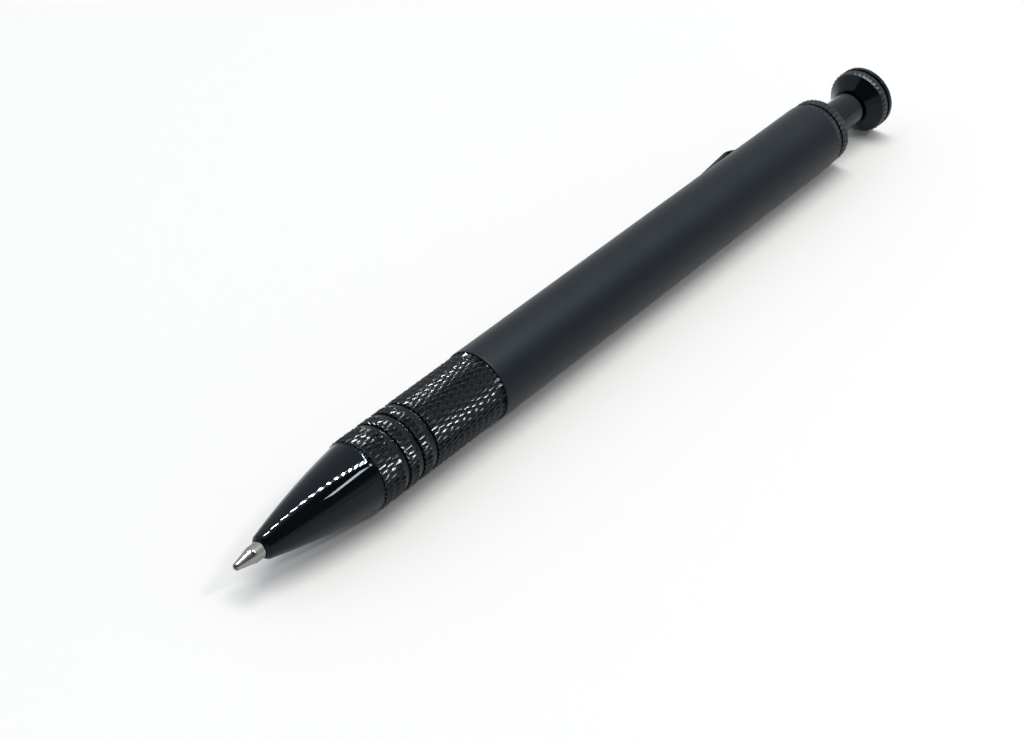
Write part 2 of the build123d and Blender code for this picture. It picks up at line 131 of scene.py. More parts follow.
@dataclass(frozen=True)
class Finish:
    """A surface finish, made of a shader with two noises on Object coordinates.

    Attributes:
        name: Material name.
        slot: The record's slot; not used.
        colour: Linear base colour.
        shade: Linear colour that the base drifts to in patches.
        roughness: Middle roughness.
        spread: How far the roughness strays from the middle in patches.
        metallic: 0 for lacquer and plastic, 1 for bare metal.
        ior: Index of refraction of the clear surface.
        tint: Colour of what the clear surface mirrors.
        sheen: Share of soft light that grazing views get from a blasted surface.
        grain: How the surface was worked.
        grain_size: Size of the fine relief in millimetres.
        relief: Height of the fine relief in millimetres.
        patch: Size of the patches in millimetres.
    """

    name: str
    slot: str
    colour: Triple
    shade: Triple
    roughness: float
    spread: float
    metallic: float = 0.0
    ior: float = 1.5
    tint: Triple = (1.0, 1.0, 1.0)
    sheen: float = 0.0
    grain: Grain = Grain.EVEN
    grain_size: float = 0.5
    relief: float = 0.001
    patch: float = 6.0

    def material(self) -> bpy.types.Material:
        """Makes the material, or finds it where it is already made.

        Returns:
            The material of this finish.
        """
        made = bpy.data.materials.get(self.name)
        if made is not None:
            return made
        made = bpy.data.materials.new(self.name)
        made.use_nodes = True
        nodes, links = made.node_tree.nodes, made.node_tree.links
        shader = nodes["Principled BSDF"]
        dial(shader, Metallic=self.metallic, IOR=self.ior, Specular_Tint=(*self.tint, 1.0))
        dial(shader, Sheen_Weight=self.sheen, Sheen_Roughness=SHEEN_ROUGHNESS)
        place = nodes.new("ShaderNodeTexCoord")

        patches = nodes.new("ShaderNodeTexNoise")
        dial(patches, Scale=1 / (self.patch * MM), Detail=PATCH_DETAIL)
        links.new(place.outputs["Object"], patches.inputs["Vector"])

        rough = nodes.new("ShaderNodeMapRange")
        dial(rough, From_Min=NOISE_RANGE[0], From_Max=NOISE_RANGE[1])
        dial(rough, To_Min=self.roughness - self.spread, To_Max=self.roughness + self.spread)
        links.new(patches.outputs["Fac"], rough.inputs["Value"])
        links.new(rough.outputs["Result"], shader.inputs["Roughness"])

        tint = nodes.new("ShaderNodeMix")
        tint.data_type = "RGBA"
        dial(tint, A=(*self.colour, 1.0), B=(*self.shade, 1.0))
        links.new(patches.outputs["Fac"], tint.inputs["Factor"])
        links.new(tint.outputs["Result"], shader.inputs["Base Color"])

        along, across = self.grain.value
        stretch = nodes.new("ShaderNodeMapping")
        dial(stretch, Scale=(along, across, across))
        links.new(place.outputs["Object"], stretch.inputs["Vector"])
        fine = nodes.new("ShaderNodeTexNoise")
        dial(fine, Scale=1 / (self.grain_size * MM), Detail=GRAIN_DETAIL)
        links.new(stretch.outputs["Vector"], fine.inputs["Vector"])
        bump = nodes.new("ShaderNodeBump")
        dial(bump, Strength=1.0, Distance=self.relief * MM)
        links.new(fine.outputs["Fac"], bump.inputs["Height"])
        links.new(bump.outputs["Normal"], shader.inputs["Normal"])
        return made


BLUED = (0.7, 0.86, 1.0)
PALE_BLUED = (0.8, 0.91, 1.0)
LACQUER = (0.0022, 0.0028, 0.0036)
LACQUER_SHADE = (0.0032, 0.0038, 0.0046)
GLOSS_BLACK = Finish(
    "gloss_lacquer", "gloss_black", LACQUER, LACQUER_SHADE, 0.03, 0.01,
    ior=1.31, tint=BLUED, grain_size=1.5, relief=0.0002,
)
KNURL_BLACK = Finish(
    "knurl_lacquer", "gloss_black", LACQUER, LACQUER_SHADE, 0.12, 0.02,
    ior=1.345, tint=PALE_BLUED, grain_size=0.4, relief=0.004,
)
RIM_BLACK = Finish(
    "rim_lacquer", "gloss_black", LACQUER, LACQUER_SHADE, 0.34, 0.04,
    ior=1.45, tint=PALE_BLUED, grain_size=0.4, relief=0.02,
)
STEM_BLACK = Finish(
    "stem_lacquer", "gloss_black", LACQUER, LACQUER_SHADE, 0.14, 0.03,
    ior=1.36, tint=BLUED, grain_size=0.5, relief=0.0004,
)
SATIN_BLACK = Finish(
    "satin_coat", "satin_black", (0.004, 0.006, 0.010), (0.006, 0.008, 0.012), 0.42, 0.03,
    ior=1.285, sheen=0.1, tint=(0.76, 0.9, 1.0), grain_size=0.08, relief=0.002,
)
CLIP_BLACK = Finish(
    "clip_lacquer", "clip_black", (0.0022, 0.0026, 0.0032), (0.003, 0.0034, 0.004), 0.4, 0.04,
    ior=1.12, tint=BLUED, grain_size=0.6, relief=0.0003,
)
TIP_STEEL = Finish(
    "turned_steel", "tip_steel", (0.32, 0.32, 0.3), (0.25, 0.25, 0.24), 0.18, 0.05, 1.0,
    grain=Grain.TURNED, grain_size=0.05, relief=0.0006, patch=1.5,
)
BALL_CARBIDE = Finish(
    "ball_metal", "ball_carbide", (0.16, 0.16, 0.17), (0.11, 0.11, 0.12), 0.15, 0.05, 1.0,
    grain_size=0.05, relief=0.0003, patch=0.4,
)
BRASS = Finish(
    "turned_brass", "brass", (0.80, 0.58, 0.24), (0.70, 0.50, 0.22), 0.28, 0.06, 1.0,
    grain=Grain.TURNED, grain_size=0.06, relief=0.001,
)
REFILL_STEEL = Finish(
    "drawn_steel", "refill_steel", (0.60, 0.60, 0.60), (0.52, 0.52, 0.53), 0.30, 0.06, 1.0,
    grain=Grain.DRAWN, grain_size=0.08, relief=0.001,
)
SPRING_STEEL = Finish(
    "spring_wire", "spring_steel", (0.52, 0.52, 0.53), (0.42, 0.42, 0.44), 0.28, 0.06, 1.0,
    grain_size=0.1, relief=0.001, patch=2.0,
)
PLUG_PLASTIC = Finish(
    "pale_plastic", "plug_plastic", (0.70, 0.70, 0.68), (0.64, 0.64, 0.62), 0.50, 0.06,
    grain_size=0.15, relief=0.004,
)
MECHANISM_PLASTIC = Finish(
    "white_plastic", "mechanism_plastic", (0.80, 0.80, 0.76), (0.74, 0.74, 0.70), 0.42, 0.06,
    grain_size=0.12, relief=0.003,
)
INK = Finish("ink", "ink", (0.006, 0.008, 0.03), (0.004, 0.005, 0.02), 0.15, 0.05)


class Turning:
    """A profile that is drawn point by point and then turned round the pen.

    Runs longer than LONG get a point at HOLD from each end, which keeps the shading of an edge's rounding
    close to the edge. Both are in millimetres.
    """

    HOLD = 0.3
    LONG = 1.2

    def __init__(self, axis: PenAxis) -> None:
        """Starts an empty profile on an axis."""
        self.axis = axis
        self.bm = bmesh.new()
        self.first: BMVert | None = None
        self.last: BMVert | None = None

    def to(self, *points: Pair) -> "Turning":
        """Draws straight runs to (station, radius) points.

        Args:
            points: The points, in millimetres.

        Returns:
            This turning, to go on with.
        """
        for point in points:
            end = self.axis.at(*point)
            if self.last is not None and (end - self.last.co).length > self.LONG * MM:
                start = self.last.co.copy()
                step = (end - start).normalized() * (self.HOLD * MM)
                self.join(start + step)
                self.join(end - step)
            self.join(end)
        return self

    def join(self, place: Vector) -> None:
        """Draws one run to a place, in metres."""
        vert = self.bm.verts.new(place)
        if self.last is not None:
            self.bm.edges.new((self.last, vert))
        self.first = self.first or vert
        self.last = vert

    def arc(self, middle: Pair, end: Pair, steps: int) -> "Turning":
        """Draws an arc from the last point through a middle one to an end.

        Args:
            middle: (station, radius) of a point on the arc.
            end: (station, radius) of its end.
            steps: Number of runs that the arc is drawn with.

        Returns:
            This turning, to go on with.
        """
        start = self.axis.polar(self.last.co)[:2]
        (ax, ay), (bx, by), (cx, cy) = start, middle, end
        turn = 2 * (ax * (by - cy) + bx * (cy - ay) + cx * (ay - by))
        sa, sb, sc = ax * ax + ay * ay, bx * bx + by * by, cx * cx + cy * cy
        ox = (sa * (by - cy) + sb * (cy - ay) + sc * (ay - by)) / turn
        oy = (sa * (cx - bx) + sb * (ax - cx) + sc * (bx - ax)) / turn
        angle = math.atan2(ay - oy, ax - ox) - math.atan2(cy - oy, cx - ox)
        spun = bmesh.ops.spin(
            self.bm,
            geom=[self.last],
            cent=self.axis.at(ox, oy),
            axis=(0, 1, 0),
            angle=angle,
            steps=steps,
            use_duplicate=False,
        )
        self.last = next(item for item in spun["geom_last"] if isinstance(item, BMVert))
        return self

    def turned(self, steps: int = FLATS, closed: bool = True) -> BMesh:
        """Turns the profile a full turn.

        Args:
            steps: Number of flats round the pen.
            closed: Whether a last run goes back to the first point.

        Returns:
            The turned shape, closed and facing outwards.
        """
        if closed:
            self.bm.edges.new((self.last, self.first))
        bmesh.ops.spin(
            self.bm,
            geom=self.bm.verts[:] + self.bm.edges[:],
            cent=self.axis.at(0),
            axis=(1, 0, 0),
            angle=FULL_TURN,
            steps=steps,
            use_merge=True,
            use_duplicate=False,
        )
        bmesh.ops.remove_doubles(self.bm, verts=self.bm.verts, dist=SAME_PLACE)
        bmesh.ops.recalc_face_normals(self.bm, faces=self.bm.faces)
        return self.bm


def round_off(bm: BMesh, least: float, width: float, segments: int) -> None:
    """Rounds the edges of a shape that are sharper than an angle in radians, by a width in millimetres."""
    bmesh.ops.bevel(
        bm,
        geom=[e for e in bm.edges if e.is_manifold and e.calc_face_angle() > least],
        offset=width * MM,
        offset_type="OFFSET",
        segments=segments,
        profile=0.5,
        affect="EDGES",
        clamp_overlap=True,
        material=-1,
    )


def soften(bm: BMesh, width: float, segments: int = 3, least: float = 25.0) -> BMesh:
    """Rounds the sharp edges of a turned or bent shape and parts its shading at the creases that are left.

    Args:
        bm: The shape.
        width: Width of the rounding in millimetres.
        segments: Number of flats across it.
        least: Least angle of an edge that is rounded, in degrees.

    Returns:
        The same shape.
    """
    round_off(bm, math.radians(least), width, segments)
    for edge in bm.edges:
        edge.smooth = not (edge.is_manifold and edge.calc_face_angle() > CREASE)
    return bm


def mesh_of(bm: BMesh, name: str) -> bpy.types.Mesh:
    """Makes a mesh from a shape, which is freed."""
    mesh = bpy.data.meshes.new(name)
    bm.to_mesh(mesh)
    bm.free()
    return mesh


def show(name: str, data: bpy.types.ID) -> bpy.types.Object:
    """Puts a mesh, a lamp or a camera into the scene as an object."""
    item = bpy.data.objects.new(name, data)
    bpy.context.scene.collection.objects.link(item)
    return item


def joined(*shapes: BMesh) -> BMesh:
    """Puts several shapes into one.

    Args:
        shapes: The shapes, of which only the first is kept.

    Returns:
        The first shape with the others in it.
    """
    whole = shapes[0]
    for shape in shapes[1:]:
        carrier = mesh_of(shape, "carrier")
        whole.from_mesh(carrier)
        bpy.data.meshes.remove(carrier)
    return whole


@dataclass(frozen=True)
class Knurl:
    """A sharp diamond knurl, rolled as rows of four-sided points.

    ROUNDED is the least angle of an edge that is rounded, SPLIT that of an edge that parts the shading, and
    ON_END how near to an end a point counts as lying on it, in millimetres.

    Attributes:
        around: Number of points round the pen.
        pitch: Length of a diamond along the pen.
        depth: Depth of the valleys below the points.
        edge: Width of the rounding on the points' edges.
        bulge: How far the flanks bulge round the pen.
    """

    ROUNDED = math.radians(20)
    SPLIT = math.radians(30)
    ON_END = 1e-3

    around: int = 40
    pitch: float = 2.54
    depth: float = 0.29
    edge: float = 0.014
    bulge: float = 0.0

    def tube(
        self,
        axis: PenAxis,
        crest: float,
        span: Pair,
        inner: float,
        row_at: float,
        chamfers: Pair = (0.0, 0.0),
    ) -> BMesh:
        """Makes a knurled ring.

        Args:
            axis: The pen's centre line.
            crest: Radius at the points.
            span: Stations of the ring's two ends.
            inner: Radius inside, hidden by what carries the ring.
            row_at: Station of one row of points.
            chamfers: Length and depth of the chamfer at each end, or 0 for none.

        Returns:
            The ring, closed and facing outwards.
        """
        row = self.pitch / 2
        first = math.floor((span[0] - row_at) / row)
        last = math.ceil((span[1] - row_at) / row)
        turning = Turning(axis)
        for n in range(first, last + 1):
            turning.join(axis.at(row_at + n * row, crest))
        bm = turning.turned(2 * self.around, closed=False)
        low: list[BMVert] = []
        for vert in bm.verts:
            station, _, angle = axis.polar(vert.co)
            column = round(angle / math.pi * self.around)
            if (round((station - row_at) / row) + column) % 2:
                vert.co = axis.at(station, crest - self.depth, angle)
                low.append(vert)
        bmesh.ops.connect_verts(bm, verts=low)
        if self.bulge:
            ribs = [e for e in bm.edges if abs(e.verts[0].co.x - e.verts[1].co.x) < SAME_PLACE]
            halves = bmesh.ops.subdivide_edges(bm, edges=ribs, cuts=1)["geom_split"]
            for vert in (item for item in halves if isinstance(item, BMVert)):
                station, radius, angle = axis.polar(vert.co)
                vert.co = axis.at(station, radius + self.bulge, angle)
        round_off(bm, self.ROUNDED, self.edge, 1)
        for end, chamfer, way in ((span[0], chamfers[0], -1), (span[1], chamfers[1], 1)):
            self.cut(bm, axis, end, way, True)
            if chamfer:
                self.cut(bm, axis, end - way * chamfer, way, False)
                for vert in bm.verts:
                    station, radius, angle = axis.polar(vert.co)
                    if abs(station - end) < self.ON_END and radius > crest - chamfer:
                        vert.co = axis.at(station, crest - chamfer, angle)
        return self.walled(bm, axis, inner)

    @staticmethod
    def cut(bm: BMesh, axis: PenAxis, station: float, way: int, clear: bool) -> None:
        """Cuts a ring square across at a station, and clears what is beyond it where asked."""
        bmesh.ops.bisect_plane(
            bm,
            geom=bm.verts[:] + bm.edges[:] + bm.faces[:],
            dist=SAME_PLACE / 10,
            plane_co=axis.at(station),
            plane_no=(way, 0, 0),
            clear_outer=clear,
        )

    def walled(self, bm: BMesh, axis: PenAxis, inner: float) -> BMesh:
        """Closes a ring with two end walls and an inner wall at a radius."""
        rim = [e for e in bm.edges if e.is_boundary]
        walls = bmesh.ops.extrude_edge_only(bm, edges=rim)
        for vert in (item for item in walls["geom"] if isinstance(item, BMVert)):
            station, _, angle = axis.polar(vert.co)
            vert.co = axis.at(station, inner, angle)
        bmesh.ops.bridge_loops(bm, edges=[e for e in bm.edges if e.is_boundary])
        bmesh.ops.recalc_face_normals(bm, faces=bm.faces)
        for edge in bm.edges:
            edge.smooth = edge.calc_face_angle(0.0) < self.SPLIT
        return bm


@dataclass(frozen=True)
class Stretch:
    """How a piece would lengthen between its own body and another; it is kept but not applied.

    Attributes:
        body: The body that the piece's far end would follow; not used.
        start: Where the piece would begin to leave its own body; not used.
        end: Where it would follow the other body wholly; not used.
    """

    body: str
    start: Vector
    end: Vector


@dataclass(frozen=True)
class Placing:
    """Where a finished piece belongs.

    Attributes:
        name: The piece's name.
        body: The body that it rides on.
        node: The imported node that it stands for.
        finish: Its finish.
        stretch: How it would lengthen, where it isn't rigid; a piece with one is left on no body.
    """

    name: str
    body: str
    node: str
    finish: Finish
    stretch: Stretch | None = None

    def fill(self, bm: BMesh) -> bpy.types.Object:
        """Makes the piece from a shape.

        Args:
            bm: The shape, which is freed.

        Returns:
            The piece, dressed, and riding on its body unless it has a stretch.
        """
        mesh = mesh_of(bm, self.name)
        mesh.shade_smooth()
        mesh.materials.append(self.finish.material())
        piece = show(self.name, mesh)
        if self.stretch is None:
            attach(piece, self.body)
        else:
            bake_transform(piece)
        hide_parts(self.node)
        log.info("%s: %d faces", self.name, len(mesh.polygons))
        return piece


@dataclass(frozen=True)
class FrontEnd:
    """Nose cone and knurled grip.

    Attributes:
        lip: Station of the nose's lip.
        base: Station of the nose's base.
        grip_front: Station of the grip's front end.
        bands: Lengths of the bands in front of the long one.
        groove: Length of the smooth collar and the slot behind each of them.
        collar: Radii of a collar's front and rear.
        bead: Height of the fine bead at the nose's base and at the rear of each collar.
        bead_width: Width of the bead on a collar.
        base_drop: How far the nose's bead falls below the base's radius at the very end.
        pocket: Stations between which the nose's bore widens for the spring.
        crest: Radius of the knurl's points.
        tuck: How far a part that is out of sight stays clear of its neighbour.
    """

    lip: float = -41.85
    base: float = -24.2
    lip_radius: float = 1.75
    middle_radius: float = 3.75
    base_radius: float = 5.1
    lip_bore: float = 1.24
    lip_round: float = 0.35
    base_edge: float = 0.25
    bead: float = 0.06
    bead_width: float = 0.2
    base_drop: float = 0.04
    nose_edge: float = 0.08
    ogive_steps: int = 56
    bead_steps: tuple[int, int] = (12, 8)
    tenon_radius: float = 4.27
    tenon_end: float = -18.2
    refill_bore: float = 3.1
    pocket: Pair = (-38.5, -30.5)
    pocket_radius: float = 2.1
    grip_front: float = -24.1
    bands: tuple[float, ...] = (3.7, 1.7, 1.6)
    groove: float = 1.1
    collar: Pair = (5.12, 5.05)
    slot: float = 0.2
    core: float = 4.9
    core_bores: Pair = (4.3, 4.0)
    core_edge: float = 0.06
    crest: float = 5.4
    tuck: float = 0.05
    front_chamfer: float = 0.08
    knurl: Knurl = Knurl(bulge=0.08)

    def nose(self, axis: PenAxis) -> BMesh:
        """Turns the ogive with its rounded lip and the bright edge at its base."""
        middle = (self.lip + self.lip_round + self.base - self.base_edge) / 2
        edge = self.base - self.base_edge
        turning = Turning(axis).to((self.lip + self.lip_round, self.lip_radius))
        turning.arc((middle, self.middle_radius), (edge, self.base_radius), self.ogive_steps)
        turning.arc(
            (self.base - self.base_edge / 2, self.base_radius + self.bead),
            (self.base, self.base_radius - self.base_drop),
            self.bead_steps[0],
        )
        turning.to(
            (self.base, self.tenon_radius),
            (self.tenon_end, self.tenon_radius),
            (self.tenon_end, self.refill_bore),
            (self.pocket[1], self.refill_bore),
            (self.pocket[0], self.pocket_radius),
            (self.pocket[0], self.lip_bore),
            (self.lip, self.lip_bore),
            (self.lip, self.lip_radius - self.lip_round),
        )
        return soften(turning.turned(FINE_FLATS), self.nose_edge)

    def grip(self, axis: PenAxis) -> BMesh:
        """Knurls the bands and turns the core with its smooth grooves."""
        front, inner = self.grip_front + 2 * self.tuck, self.core - self.tuck
        core = Turning(axis).to((front, self.core))
        rings: list[BMesh] = []
        start, chamfer = self.grip_front, self.front_chamfer
        for length in self.bands:
            end = start + length
            ring = self.knurl.tube(axis, self.crest, (start, end), inner, 0.0, (chamfer, 0.0))
            rings.append(ring)
            start, chamfer = end + self.groove, 0.0
            slot = start - self.slot
            core.to((end, self.core), (end, self.collar[0]), (slot - self.bead_width, self.collar[1]))
            top = (slot - self.bead_width / 2, self.collar[1] + self.bead)
            core.arc(top, (slot, self.collar[1]), self.bead_steps[1]).to((slot, self.core))
        rings.append(self.knurl.tube(axis, self.crest, (start, 0.0), inner, 0.0))
        core.to((-self.tuck, self.core), (-self.tuck, self.core_bores[1]), (front, self.core_bores[0]))
        return joined(soften(core.turned(), self.core_edge), *rings)

    def build(self, axis: PenAxis) -> None:
        """Makes both pieces."""
        Placing("nose_shell", "casing", "nose_cone", GLOSS_BLACK).fill(self.nose(axis))
        Placing("grip_knurl", "casing", "grip_sleeve", KNURL_BLACK).fill(self.grip(axis))


@dataclass(frozen=True)
class Barrel:
    """The long satin tube.

    Attributes:
        end: Station of its rear end.
        radius: Outer radius.
        bore: Inner radius.
        edge: Width of the rounding on its edges.
    """

    start: float = 0.03
    end: float = 83.4
    radius: float = 5.495
    bore: float = 4.3
    edge: float = 0.1

    def tube(self, axis: PenAxis) -> BMesh:
        """Turns the tube and breaks its edges."""
        turning = Turning(axis).to((self.start, self.bore), (self.start, self.radius))
        turning.to((self.end, self.radius), (self.end, self.bore))
        return soften(turning.turned(FINE_FLATS), self.edge)

    def build(self, axis: PenAxis) -> None:
        """Makes the tube."""
        Placing("barrel_skin", "casing", "barrel_tube", SATIN_BLACK).fill(self.tube(axis))


@dataclass(frozen=True)
class PocketClip:
    """A bent strip whose foot stands in the barrel.

    Attributes:
        foot: Station of the foot.
        height: Height of the shoulder's top above the centre line.
        slope: How steeply the strip falls from the shoulder to the knee, in degrees.
        rest_slope: How steeply it falls from the knee to the barrel, in degrees.
        sunk: Height of the foot's end above the centre line.
        lift: How far the strip stays above the barrel where it rests.
        tip_angle: How far the tip turns up, in degrees.
        least: Least angle of an edge that is rounded, in degrees.
        bend_steps: Number of flats round the shoulder, the knee and the tip.
    """

    foot: float = 73.05
    width: float = 5.0
    thickness: float = 0.9
    height: float = 9.0
    bend: float = 0.75
    slope: float = 10.0
    slope_length: float = 10.0
    knee_radius: float = 20.0
    rest_slope: float = 1.9
    sunk: float = 5.2
    barrel_radius: float = 5.5
    lift: float = 0.03
    tip_radius: float = 4.0
    tip_angle: float = 32.0
    edge: float = 0.16
    least: float = 40.0
    bend_steps: tuple[int, int, int] = (10, 8, 10)

    def strip(self, axis: PenAxis) -> BMesh:
        """Draws the strip's section up from the foot, round the shoulder, past the knee and to the tip."""
        corner = math.hypot(self.height, self.width / 2)
        roll = math.acos(self.barrel_radius / corner) + math.atan2(self.width / 2, self.height)
        across = Vector((0, math.cos(roll), math.sin(roll)))
        out, ahead = Vector((0, math.sin(roll), -math.cos(roll))) * MM, Vector((-MM, 0, 0))
        steep, shallow = math.radians(self.slope), math.radians(self.rest_slope)
        top = self.height - self.thickness / 2
        low = self.barrel_radius + self.lift + self.thickness / 2
        shoulder, knee, tip = self.bend_steps
        bm = bmesh.new()
        bmesh.ops.create_grid(bm, x_segments=1, y_segments=1, size=0.5)
        for vert in bm.verts:
            thick, wide = vert.co.x * self.thickness, vert.co.y * self.width
            vert.co = axis.at(self.foot) + out * self.sunk - ahead * thick + across * (wide * MM)
        bm.normal_update()
        face = self.run(bm, bm.faces[:][0], out * (top - self.bend - self.sunk))
        face = self.turn(bm, face, ahead * self.bend, across, math.pi / 2 + steep, shoulder)
        face = self.run(bm, face, (ahead * math.cos(steep) - out * math.sin(steep)) * self.slope_length)
        lift = out * math.cos(steep) + ahead * math.sin(steep)
        face = self.turn(bm, face, lift * self.knee_radius, across, shallow - steep, knee)
        drop = axis.polar(face.calc_center_median())[1] - low
        face = self.run(bm, face, ahead * (drop / math.tan(shallow)) - out * drop)
        lift = out * math.cos(shallow) + ahead * math.sin(shallow)
        self.turn(bm, face, lift * self.tip_radius, across, -math.radians(self.tip_angle), tip)
        bmesh.ops.recalc_face_normals(bm, faces=bm.faces)
        return soften(bm, self.edge, least=self.least)

    @staticmethod
    def run(bm: BMesh, face: BMFace, move: Vector) -> BMFace:
        """Draws the strip straight on and gives its new end."""
        grown = bmesh.ops.extrude_face_region(bm, geom=[face])["geom"]
        bmesh.ops.translate(bm, vec=move, verts=[g for g in grown if isinstance(g, BMVert)])
        return next(g for g in grown if isinstance(g, BMFace))

    @staticmethod
    def turn(
        bm: BMesh, face: BMFace, arm: Vector, across: Vector, angle: float, steps: int
    ) -> BMFace:
        """Bends the strip on round a centre, an arm away from its end, and gives its new end."""
        spun = bmesh.ops.spin(
            bm,
            geom=[*face.verts, *face.edges, face],
            cent=face.calc_center_median() + arm,
            axis=across,
            angle=angle,
            steps=steps,
            use_duplicate=False,
        )
        return next(g for g in spun["geom_last"] if isinstance(g, BMFace))

    def build(self, axis: PenAxis) -> None:
        """Makes the clip."""
        Placing("clip_strip", "casing", "clip", CLIP_BLACK).fill(self.strip(axis))


@dataclass(frozen=True)
class RearCollar:
    """The knurled ferrule band, the turned groove behind it and the knurled end cap.

    Attributes:
        band: Stations of the ferrule's band.
        cap: Stations of the end cap.
        crest: Radius of the knurl's points.
        tuck: How far a hidden seat lies below the knurl's valleys and inside a ring's ends.
        bevel: Length and depth of the bevel on the cap's seat.
        edge: Chamfer on the ends of the knurled rings.
    """

    band: Pair = (83.4, 84.35)
    cap: Pair = (84.85, 86.3)
    crest: float = 5.45
    groove_floor: float = 5.05
    spigot_start: float = 76.5
    spigot_radius: float = 4.27
    flange_bore: float = 3.37
    stem_bore: float = 2.87
    lip_start: float = 84.0
    thread_radius: float = 4.37
    thread_end: float = 85.55
    cap_inside: float = 85.65
    cap_bore: float = 4.4
    tuck: float = 0.05
    bevel: Pair = (0.02, 0.1)
    edge: float = 0.05
    turned_edges: Pair = (0.03, 0.06)
    knurl: Knurl = Knurl(depth=0.26)

    def ferrule(self, axis: PenAxis) -> BMesh:
        """Turns the ferrule and knurls its band."""
        start, end = self.band
        under = self.crest - self.knurl.depth - self.tuck
        turning = Turning(axis).to(
            (self.spigot_start, self.flange_bore),
            (self.spigot_start, self.spigot_radius),
            (start, self.spigot_radius),
            (start, under),
            (end - self.tuck, under),
            (end - self.tuck, self.groove_floor),
            (self.cap[0], self.groove_floor),
            (self.cap[0], self.thread_radius),
            (self.thread_end, self.thread_radius),
            (self.thread_end, self.stem_bore),
            (self.lip_start, self.stem_bore),
            (self.lip_start, self.flange_bore),
        )
        row_at, inner = sum(self.band) / 2, under - 2 * self.tuck
        ring = self.knurl.tube(axis, self.crest, self.band, inner, row_at, (0.0, self.edge))
        return joined(soften(turning.turned(), self.turned_edges[0], 2), ring)

    def end_cap(self, axis: PenAxis) -> BMesh:
        """Turns the cap, with the hole for the stem, and knurls its rim."""
        start, end = self.cap
        under = self.crest - self.knurl.depth - self.tuck
        turning = Turning(axis).to(
            (start + self.tuck, self.cap_bore),
            (start + self.tuck, under),
            (end - self.bevel[0], under),
            (end, under - self.bevel[1]),
            (end, self.stem_bore),
            (self.cap_inside, self.stem_bore),
            (self.cap_inside, self.cap_bore),
        )
        row_at, inner = sum(self.cap) / 2, under - 2 * self.tuck
        ring = self.knurl.tube(axis, self.crest, self.cap, inner, row_at, (self.edge, self.edge))
        return joined(soften(turning.turned(), self.turned_edges[1], 2), ring)

    def build(self, axis: PenAxis) -> None:
        """Makes both rings."""
        Placing("ferrule_ring", "casing", "rear_ferrule", RIM_BLACK).fill(self.ferrule(axis))
        Placing("cap_ring", "casing", "end_cap", RIM_BLACK).fill(self.end_cap(axis))


